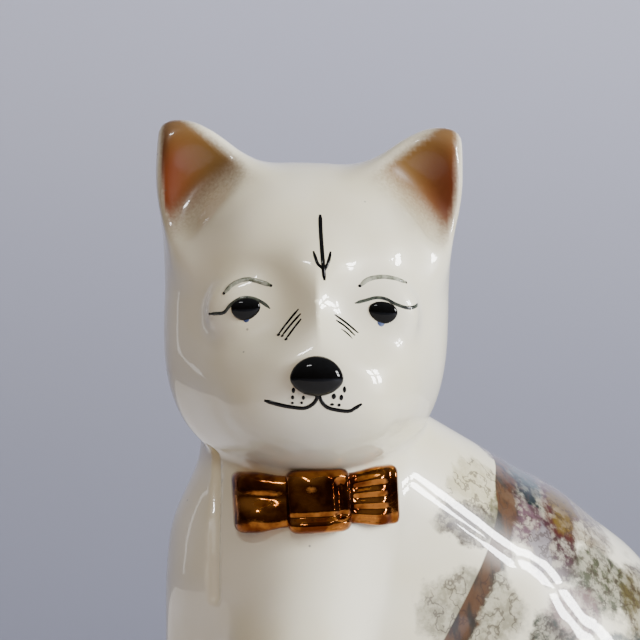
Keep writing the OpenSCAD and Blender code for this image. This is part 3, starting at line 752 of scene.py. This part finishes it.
def figure():
    cell = 1.0
    low = [cad_box[0][i] / MM - 2 for i in range(3)]
    low[2] = -1.5 * cell
    high = [cad_box[1][i] / MM + 2 for i in range(3)]
    points, quads = net(figure_field, low, high, cell)
    middle = points[quads].mean(1)
    owner = claims(middle).argmin(-1)
    points = straighten_seams(points, quads, owner)
    normals = outward(points, figure_field)
    b = to_body(middle)
    under_slab = (middle[:, 2] < 0.2) & (
        ((b[:, 0] - RUMP_ALONG) / (SLAB_LEN / 2)) ** 2 + (b[:, 1] / (SLAB_W / 2)) ** 2 < 1)
    layers = paint_layers(points, normals)
    made = {}
    for i, name in enumerate(OWNERS):
        mine = quads[(owner == i) & ~under_slab]
        p, f, m, used = shell(points, mine, normals, 1.5)
        glaze = PRINTED_GLAZE if name == "torso" else GLAZE
        piece = make_piece(name + "_skin", p, f, glaze, [name], m)
        for key, mask in layers.items():
            layer = piece.data.attributes.new(key, "FLOAT", "POINT")
            layer.data.foreach_set("value", np.concatenate([mask[used], mask[used]]).astype(np.float32))
        made[name] = piece
    return made


figure()

# ---- Enamel on the face ----

# Places on the face are [right as seen, up] from the middle of the head.


def on_face(places):
    """The points of the face at these places, and the directions out of it there."""
    places = np.asarray(places, float)
    near = np.full(len(places), 0.0)
    far = np.full(len(places), -60.0)

    def at(y):
        return from_head(np.stack([places[:, 0], y, places[:, 1]], -1))

    for _ in range(24):
        middle = (near + far) / 2
        outside = head_only(at(middle)) > 0
        far, near = np.where(outside, middle, far), np.where(outside, near, middle)
    points = at(near)
    return points, outward(points, head_only)


def brushed(places, spacing=0.35):
    """A smooth line through these places, with a point every so many millimetres."""
    p = np.asarray(places, float)
    p = np.concatenate([[2 * p[0] - p[1]], p, [2 * p[-1] - p[-2]]])
    line = []
    for a, b, c, d in zip(p, p[1:], p[2:], p[3:]):
        steps = max(2, int(np.linalg.norm(c - b) / spacing))
        t = (np.arange(steps) / steps)[:, None]
        line.append(0.5 * (2 * b + (c - a) * t + (2 * a - 5 * b + 4 * c - d) * t * t
                           + (3 * b - a - 3 * c + d) * t ** 3))
    return np.concatenate(line + [p[-2:-1]])


# A line of enamel is the top of a round thread that is sunk in the glaze.
# Each one has its width, the share of it that its ends keep, and its places.
BLACK_LINES = [
    (0.85, 0.6, [(1.1, 19.6), (1.1, 15.5), (1.2, 11.4), (1.6, 6.4)]),
    (0.65, 0.55, [(-0.6, 12.2), (0.1, 10), (1.2, 8.6)]),
    (0.65, 0.55, [(2.9, 12.2), (2.3, 9.9), (1.3, 8)]),
    (0.6, 0.65, [(-7.3, -4.5), (-5.2, -1.7), (-3.4, 0.6)]),
    (0.6, 0.65, [(-6.6, -4.7), (-4.7, -2.3), (-3, -0.3)]),
    (0.6, 0.65, [(-5.9, -5.3), (-4.2, -3), (-2.9, -1.3)]),
    (0.6, 0.65, [(3.8, -0.3), (6.2, -1.9), (8.7, -3.9)]),
    (0.6, 0.65, [(4.1, -1.4), (6, -2.6), (8, -4.4)]),
    (0.5, 0.6, [(5.1, -3.1), (6.4, -4), (7.4, -5)]),
    (0.8, 0.55, [(-10.1, -17.5), (-6.8, -18.3), (-4, -18.7), (-2, -18.7), (-0.4, -17.7), (0.5, -16)]),
    (0.8, 0.55, [(0.5, -16), (1.3, -17.6), (2.8, -18.7), (6.4, -19.2), (7.8, -18.6), (9.2, -17.7)])]
LID_LINES = [
    (0.7, 0.45, [(-20.8, -0.9), (-19.6, -0.8), (-18, -0.5), (-16.7, 1.1), (-14.7, 2.4), (-12.5, 2.5),
                (-10.5, 1.7), (-8.9, 0.5)]),
    (0.7, 0.45, [(8, 2), (10.1, 2.6), (12.3, 3.2), (14.3, 3), (16.4, 2), (18.9, 1.3),
                (20.5, 1.6), (21.3, 2.2)])]
BROW_LINES = [
    (1.0, 0.6, [(-18.1, 3.3), (-16.3, 5.2), (-13.8, 6.2), (-11.4, 5.9), (-8.8, 5.1)]),
    (1.0, 0.6, [(9, 5.5), (10.7, 6.8), (13.3, 7.4), (16.1, 7.2), (18.7, 6.4)])]

# Dots of enamel: the place, and half their width and height.
BLACK_DOTS = [
    (-4.5, -15.3, 0.36, 0.55), (-4.6, -16.7, 0.34, 0.42), (-4.6, -17.8, 0.32, 0.26),
    (-2.5, -16.7, 0.34, 0.42), (-2.8, -17.7, 0.28, 0.3),
    (5.6, -14.9, 0.36, 0.65), (5, -16.5, 0.4, 0.6), (3.5, -16.3, 0.45, 0.6),
    (4.6, -18, 0.34, 0.34), (3.2, -17.9, 0.42, 0.28),
    (-18.1, 3.3, 0.32, 0.32), (-8.8, 5.1, 0.3, 0.3), (9, 5.5, 0.4, 0.32), (18.7, 6.4, 0.32, 0.32),
    (-20.8, -0.9, 0.34, 0.28), (-7.3, -4.6, 0.4, 0.34), (-6.6, -4.8, 0.36, 0.3), (-5.9, -5.4, 0.38, 0.34),
    (0.2, -16.1, 0.5, 1.0)]


def node_tree(name, inputs):
    """An empty Geometry Nodes tree with named inputs, its first and last node, and the inputs' keys."""
    tree = bpy.data.node_groups.new(name, "GeometryNodeTree")
    tree.interface.new_socket("Geometry", in_out="INPUT", socket_type="NodeSocketGeometry")
    keys = {}
    for label, kind in inputs.items():
        socket = tree.interface.new_socket(label, in_out="INPUT", socket_type=kind)
        keys[label] = socket.identifier
    tree.interface.new_socket("Geometry", in_out="OUTPUT", socket_type="NodeSocketGeometry")
    return tree, add(tree, "NodeGroupInput"), add(tree, "NodeGroupOutput"), keys


def thread_tree():
    """Sweeps a round section along each line, thinner towards both ends."""
    tree, start, end, keys = node_tree("enamel_thread", {
        "Material": "NodeSocketMaterial", "Tip length": "NodeSocketFloat", "Sides": "NodeSocketInt"})
    along = add(tree, "GeometryNodeSplineParameter").outputs["Length"]
    length = add(tree, "GeometryNodeSplineLength").outputs["Length"]
    left = math_node(tree, "SUBTRACT", length, along)
    near_end = math_node(tree, "DIVIDE", math_node(tree, "MINIMUM", along, left),
                         start.outputs["Tip length"])
    share = add(tree, "GeometryNodeInputNamedAttribute", {"data_type": "FLOAT"},
                Name="end_share").outputs[0]
    swell = ramp(tree, near_end, 0.0, 1.0)
    size = add(tree, "GeometryNodeInputNamedAttribute", {"data_type": "FLOAT"}, Name="size").outputs[0]
    full = math_node(tree, "MULTIPLY_ADD", swell, math_node(tree, "SUBTRACT", 1.0, share), share)
    radius = math_node(tree, "MULTIPLY", size, full)
    lines = add(tree, "GeometryNodeMeshToCurve", Mesh=start.outputs["Geometry"])
    section = add(tree, "GeometryNodeCurvePrimitiveCircle", Resolution=start.outputs["Sides"], Radius=1.0)
    swept = add(tree, "GeometryNodeCurveToMesh", Curve=lines.outputs[0], _1=section.outputs[0],
                Scale=radius)
    swept.inputs["Fill Caps"].default_value = True
    whole = add(tree, "GeometryNodeRealizeInstances", _0=swept.outputs[0])
    dressed = add(tree, "GeometryNodeSetMaterial", _0=whole.outputs[0], Material=start.outputs["Material"])
    tree.links.new(dressed.outputs[0], end.inputs[0])
    return tree, keys


def drop_tree():
    """Sets a round drop at each point, turned to stand on the glaze and scaled to its size."""
    tree, start, end, keys = node_tree("enamel_drops", {
        "Material": "NodeSocketMaterial", "Rings": "NodeSocketInt"})
    drop = add(tree, "GeometryNodeMeshUVSphere", Segments=14, Rings=start.outputs["Rings"], Radius=1.0)
    way = add(tree, "GeometryNodeInputNamedAttribute", {"data_type": "FLOAT_VECTOR"}, Name="way")
    size = add(tree, "GeometryNodeInputNamedAttribute", {"data_type": "FLOAT_VECTOR"}, Name="size")
    turn = add(tree, "FunctionNodeAxesToRotation", {"primary_axis": "Y", "secondary_axis": "Z"},
               _0=way.outputs[0], _1=(0.0, 0.0, 1.0))
    placed = add(tree, "GeometryNodeInstanceOnPoints", Points=start.outputs["Geometry"],
                 Instance=drop.outputs[0], Rotation=turn.outputs[0], Scale=size.outputs[0])
    whole = add(tree, "GeometryNodeRealizeInstances", _0=placed.outputs[0])
    dressed = add(tree, "GeometryNodeSetMaterial", _0=whole.outputs[0], Material=start.outputs["Material"])
    tree.links.new(dressed.outputs[0], end.inputs[0])
    return tree, keys


def grown(name, data, tree, keys, values):
    """The plain mesh that a tree makes from this data, riding on the figure."""
    seed = bpy.data.objects.new(name + "_seed", data)
    bpy.context.scene.collection.objects.link(seed)
    modifier = seed.modifiers.new("nodes", "NODES")
    modifier.node_group = tree
    for label, value in values.items():
        modifier[keys[label]] = value
    depsgraph = bpy.context.evaluated_depsgraph_get()
    mesh = bpy.data.meshes.new_from_object(seed.evaluated_get(depsgraph), depsgraph=depsgraph)
    bpy.data.objects.remove(seed)
    mesh.name = name
    mesh.polygons.foreach_set("use_smooth", [True] * len(mesh.polygons))
    piece = bpy.data.objects.new(name, mesh)
    bpy.context.scene.collection.objects.link(piece)
    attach(piece, "root")
    return piece


THREAD, THREAD_KEYS = thread_tree()
DROPS, DROP_KEYS = drop_tree()
THREAD_R = 0.55


def brush_lines(name, lines, material):
    """Threads of enamel whose tops stand proud of the glaze by a tenth of a millimetre or so."""
    data = bpy.data.meshes.new(name)
    route, edges, sizes, shares = [], [], [], []
    for width, share, places in lines:
        points, normals = on_face(brushed(places))
        radius = max(THREAD_R, 0.62 * width)
        points = points - normals * math.sqrt(radius ** 2 - width ** 2 / 4)
        edges += [(i, i + 1) for i in range(len(route), len(route) + len(points) - 1)]
        route += (points * MM).tolist()
        keep = math.sqrt(1 - (width / radius) ** 2 * (1 - share ** 2) / 4)
        sizes += [radius * MM] * len(points)
        shares += [keep] * len(points)
    data.from_pydata(route, edges, [])
    for key, values in (("size", sizes), ("end_share", shares)):
        layer = data.attributes.new(key, "FLOAT", "POINT")
        layer.data.foreach_set("value", values)
    return grown(name, data, THREAD, THREAD_KEYS,
                 {"Material": material, "Tip length": 1.2 * MM, "Sides": 16})


def enamel_drops(name, dots, material, stand=0.16):
    points, normals = on_face([d[:2] for d in dots])
    data = bpy.data.meshes.new(name)
    data.from_pydata((points * MM).tolist(), [], [])
    way = data.attributes.new("way", "FLOAT_VECTOR", "POINT")
    way.data.foreach_set("vector", normals.ravel())
    size = data.attributes.new("size", "FLOAT_VECTOR", "POINT")
    size.data.foreach_set("vector", np.array([[d[2], stand, d[3]] for d in dots]).ravel() * MM)
    return grown(name, data, DROPS, DROP_KEYS, {"Material": material, "Rings": 10})


brush_lines("face_lines", BLACK_LINES, ENAMEL)
brush_lines("eyelid_lines", LID_LINES, LID_ENAMEL)
brush_lines("brow_lines", BROW_LINES, BROW_ENAMEL)
enamel_drops("enamel_dots", BLACK_DOTS, ENAMEL)
BLEEDS = [(-EYE_GAP / 2 + 0.1, EYE_UP - EYE_H / 2 + 0.15, 0.7, 0.85),
          (EYE_GAP / 2 - 0.3, EYE_UP - EYE_H / 2 + 0.1, 0.8, 0.95)]
enamel_drops("cobalt_bleeds", BLEEDS, COBALT, 0.1)

SEAT = 0.25


def blob(name, field, node, material, cell):
    """A closed skin round a small field, in the place of one solid."""
    low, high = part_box(node)
    low = [v / MM - 1.5 for v in low]
    high = [v / MM + 1.5 for v in high]
    points, quads = net(field, low, high, cell)
    return make_piece(name, points, quads, material, [node], outward(points, field))


def nose_field(p):
    """A drop of enamel, full at the top and narrower below."""
    h = to_head(p)
    y = NOSE_AT[1]
    z = h[..., 2] - NOSE_UP
    x = h[..., 0] * (1 + 0.045 * np.maximum(-z - 1, 0)) * (1 + 0.03 * np.maximum(z, 0))
    q = np.stack([x, h[..., 1] - y, z * (1 + 0.03 * np.maximum(-z, 0))], -1)
    drop = pillow(q, [0, 0, 0], [NOSE_W / 2, NOSE_T + 0.6, NOSE_H / 2], 2.05)
    return soft_max(drop, -head_only(p) - SEAT, 0.3)


def pupil_field(side):
    middle = EYES_AT[side]

    def field(p):
        h = to_head(p)
        x = (h[..., 0] - middle[0]) * side
        z = h[..., 2] - middle[2] + 0.06 * x
        q = np.stack([x, h[..., 1] - middle[1], z * (1 + 0.05 * z)], -1)
        return soft_max(ellipsoid(q, [0, 0, 0], [EYE_W / 2, 1, EYE_H / 2]), -head_only(p) - SEAT, 0.3)
    return field


NOSE_AT = to_head(on_face([(0, NOSE_UP)])[0])[0]
EYES_AT = {side: to_head(on_face([(side * EYE_GAP / 2, EYE_UP)])[0])[0] for side in (-1, 1)}
blob("nose_drop", nose_field, "nose", ENAMEL, 0.36)
blob("left_pupil", pupil_field(1), "left_eye", ENAMEL, 0.3)
blob("right_pupil", pupil_field(-1), "right_eye", ENAMEL, 0.3)

# ---- Gilt bow ----

BOW_X, BOW_UP = 1.2, CHIN_UP - 6
BOW_MIDDLE = np.array([HEAD_AT[0] + BOW_X, HEAD_AT[1], BOW_UP])
BOW_AT = ray_out(throat_field, BOW_MIDDLE, np.array([0, -1.0, 0]), 44)


def to_bow(p):
    """Across the bow, up it, and out from the throat."""
    q = p - BOW_AT
    c, s = math.cos(BOW_TILT), math.sin(BOW_TILT)
    return q[..., 0] * c + q[..., 2] * s, q[..., 2] * c - q[..., 0] * s, throat_field(p)


def loop_field(side):
    """The figure's right loop is a smooth pillow, and its left one is gathered in folds."""
    def field(p):
        across, up, out = to_bow(p)
        x = side * across
        s = np.clip((x - KNOT_W / 2) / (BOW_W / 2 - KNOT_W / 2), 0, 1)
        half = (BOW_WAIST_H + (BOW_END_H - BOW_WAIST_H) * rise(1.6 * s, 0, 1)) / 2
        v = up / half
        thick = BOW_T * (0.62 + 0.38 * rise(s, 0, 0.8))
        if side > 0:
            folds = rise(s, 0.02, 0.15) * rise(s, 0.8, 0.55)
            waves = 1 + np.cos(2 * math.pi * 2.5 * v)
            thick = thick - 0.24 * folds * waves * rise(1.1 - np.abs(v), 0, 0.3)
            rim = np.exp(-((s - 0.95) / 0.06) ** 2)
            thick = thick + 0.45 * rim - 0.5 * np.exp(-((s - 0.8) / 0.09) ** 2)
        else:
            thick = thick + 0.8 * np.exp(-((s - 0.62) / 0.3) ** 2 - (v + 0.35) ** 2 / 0.22) - 0.3
            thick = thick - 0.6 * np.exp(-((s - 0.55) / 0.5) ** 2 - (v - 0.15) ** 2 / 0.05)
        sides = soft_max(x - BOW_W / 2, KNOT_W / 2 - 1.6 - x, 0.4)
        f = soft_max(soft_max(sides, np.abs(up) - half, 2), out - thick, 2.2)
        return soft_max(f, -out - SEAT, 0.3)
    return field


def knot_field(p):
    """The knot: a fold tucked in under its foot, and a rimmed band on one side."""
    across, up, out = to_bow(p)
    u, v = across / (KNOT_W / 2), up / (KNOT_H / 2)
    thick = KNOT_T - 0.5 - 0.5 * (u + 0.15) ** 2
    foot = rise(v, -0.35, -0.62)
    thick = thick + 0.55 * foot * np.exp(-((v + 0.75) / 0.18) ** 2)
    thick = thick - 0.45 * np.exp(-((v + 0.47) / 0.09) ** 2)
    band = soft_max(np.abs(u - 0.66) - 0.26, np.abs(v - 0.05) - 0.72, 0.2)
    thick = thick + 0.5 * np.exp(-(band / 0.09) ** 2) - 0.35 * rise(-band, 0.08, 0.2)
    thick = thick + 0.35 * np.exp(-((u + 0.25) / 0.22) ** 2 - ((v - 0.55) / 0.2) ** 2)
    edges = soft_max(np.abs(across) - KNOT_W / 2, np.abs(up) - KNOT_H / 2, 2.5)
    f = soft_max(edges, out - thick, 2.4)
    return soft_max(f, -out - SEAT, 0.3)


def clear_of_chin(field):
    return lambda p: soft_max(field(p), 0.15 - head_only(p), 0.3)


blob("bow_left_loop_gilt", clear_of_chin(loop_field(1)), "bow_left_loop", GOLD, 0.36)
blob("bow_right_loop_gilt", clear_of_chin(loop_field(-1)), "bow_right_loop", GOLD, 0.36)
blob("bow_knot_gilt", clear_of_chin(knot_field), "bow_knot", GOLD, 0.36)

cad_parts["base_slab"].data.materials.clear()
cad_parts["base_slab"].data.materials.append(CLAY)

# ---- Floor, light and camera ----


def board_with_painted_shade():
    """Matt board behind and under the figure: pale blue-grey, with painted shade that darkens it towards
    the table.
    """
    material, tree, shader = new_material("board_with_painted_shade", Roughness=0.8)
    where = add(tree, "ShaderNodeTexCoord").outputs["Object"]
    height = add(tree, "ShaderNodeSeparateXYZ", Vector=where).outputs[2]
    # Painted shade: the board is coloured darker low down and lighter higher up, as though less light
    # reached the bottom.
    colour = mix(tree, ramp(tree, height, 0.0, 0.42), sheet_colour("#8f919f"), sheet_colour("#cbcddd"))
    colour = mix(tree, math_node(tree, "MULTIPLY", noise(tree, where, 180), 0.12), colour,
                 sheet_colour("#a7a9b8"))
    tree.links.new(colour, shader.inputs["Base Color"])
    return material


def sweep():
    """A pale floor that curves up into a grey wall."""
    half, front, back, bend, top = 2.2, -1.6, 0.85, 0.35, 1.9
    line = [(front, 0.0), (back - bend, 0.0)]
    line += [(back - bend + bend * math.sin(a), bend - bend * math.cos(a))
             for a in np.linspace(0, math.pi / 2, 14)[1:]]
    line.append((back, top))
    points = [(x, y, z) for x in (-half, half) for y, z in line]
    n = len(line)
    faces = [(i, n + i, n + i + 1, i + 1) for i in range(n - 1)]
    mesh = bpy.data.meshes.new("studio_sweep")
    mesh.from_pydata(points, [], faces)
    mesh.polygons.foreach_set("use_smooth", [True] * len(mesh.polygons))
    mesh.materials.append(board_with_painted_shade())
    piece = bpy.data.objects.new("studio_sweep", mesh)
    bpy.context.scene.collection.objects.link(piece)


def lamp(name, place, aim, width, height, watts, colour="#ffffff"):
    data = bpy.data.lights.new(name, "AREA")
    data.shape, data.size, data.size_y = "RECTANGLE", width, height
    data.energy, data.color = watts, sheet_colour(colour)[:3]
    made = bpy.data.objects.new(name, data)
    made.location = place
    made.rotation_euler = (Vector(aim) - Vector(place)).to_track_quat("-Z", "Y").to_euler()
    bpy.context.scene.collection.objects.link(made)
    return made


head = Vector(HEAD_AT * MM)
sweep()
# Soft light fills the room from the right, and only the window panes and a lamp show in the glaze.
for name, place, width, height, watts, colour in (
        ("room_right", (1.1, -0.6, 0.5), 1.0, 0.9, 22, "#f3f6ff"),
        ("room_front", (-0.6, -1.2, 0.4), 0.9, 0.9, 2.4, "#ffca86"),
        ("room_above", (0.2, 0.0, 1.3), 1.1, 1.1, 5.5, "#f2f4ff")):
    lamp(name, place, head, width, height, watts, colour).visible_glossy = False
for row in range(2):
    for column in range(2):
        lamp(f"pane_{row}_{column}", (0.94, -0.5 + 0.15 * column, 0.35 + 0.18 * row), head, 0.09, 0.13, 3)
lamp("ceiling_lamp", (-0.3, -0.75, 0.85), head, 0.22, 0.05, 1.8)
lamp("far_window", (-0.85, 0.55, 0.3), head, 0.05, 0.5, 0.12)
# The bright table top shows in the lower half of every glossy curve, with a sharp far edge.
table = lamp("table_glow", (0.05, 0, 0.002), (0.05, 0, 1), 1.1, 1.1, 2.6, "#fff4e2")
table.visible_diffuse = table.visible_camera = False


def room():
    """A dim room round the table, lighter towards its ceiling."""
    world = bpy.data.worlds.new("room")
    bpy.context.scene.world = world
    world.use_nodes = True
    tree = world.node_tree
    way = add(tree, "ShaderNodeTexCoord").outputs["Generated"]
    height = add(tree, "ShaderNodeSeparateXYZ", Vector=way).outputs[2]
    colour = mix(tree, ramp(tree, height, -0.1, 0.9), sheet_colour("#5c4630"), sheet_colour("#b4b2b4"))
    tree.links.new(colour, tree.nodes["Background"].inputs[0])
    tree.nodes["Background"].inputs[1].default_value = 0.6


room()


def camera():
    """From a little to the left of the face and just above it."""
    azimuth, elevation, distance = math.radians(-4.5), math.radians(1), 0.6
    data = bpy.data.cameras.new("camera")
    data.sensor_width = 36
    data.lens = 162
    data.clip_start, data.clip_end = 0.05, 20
    back = Vector((math.sin(azimuth) * math.cos(elevation), -math.cos(azimuth) * math.cos(elevation),
                   math.sin(elevation)))
    made = bpy.data.objects.new("camera", data)
    made.location = head + back * distance
    made.rotation_euler = (-back).to_track_quat("-Z", "Y").to_euler()
    data.shift_x, data.shift_y = 15.5 / 640, -10 / 640
    bpy.context.scene.collection.objects.link(made)
    bpy.context.scene.camera = made


camera()
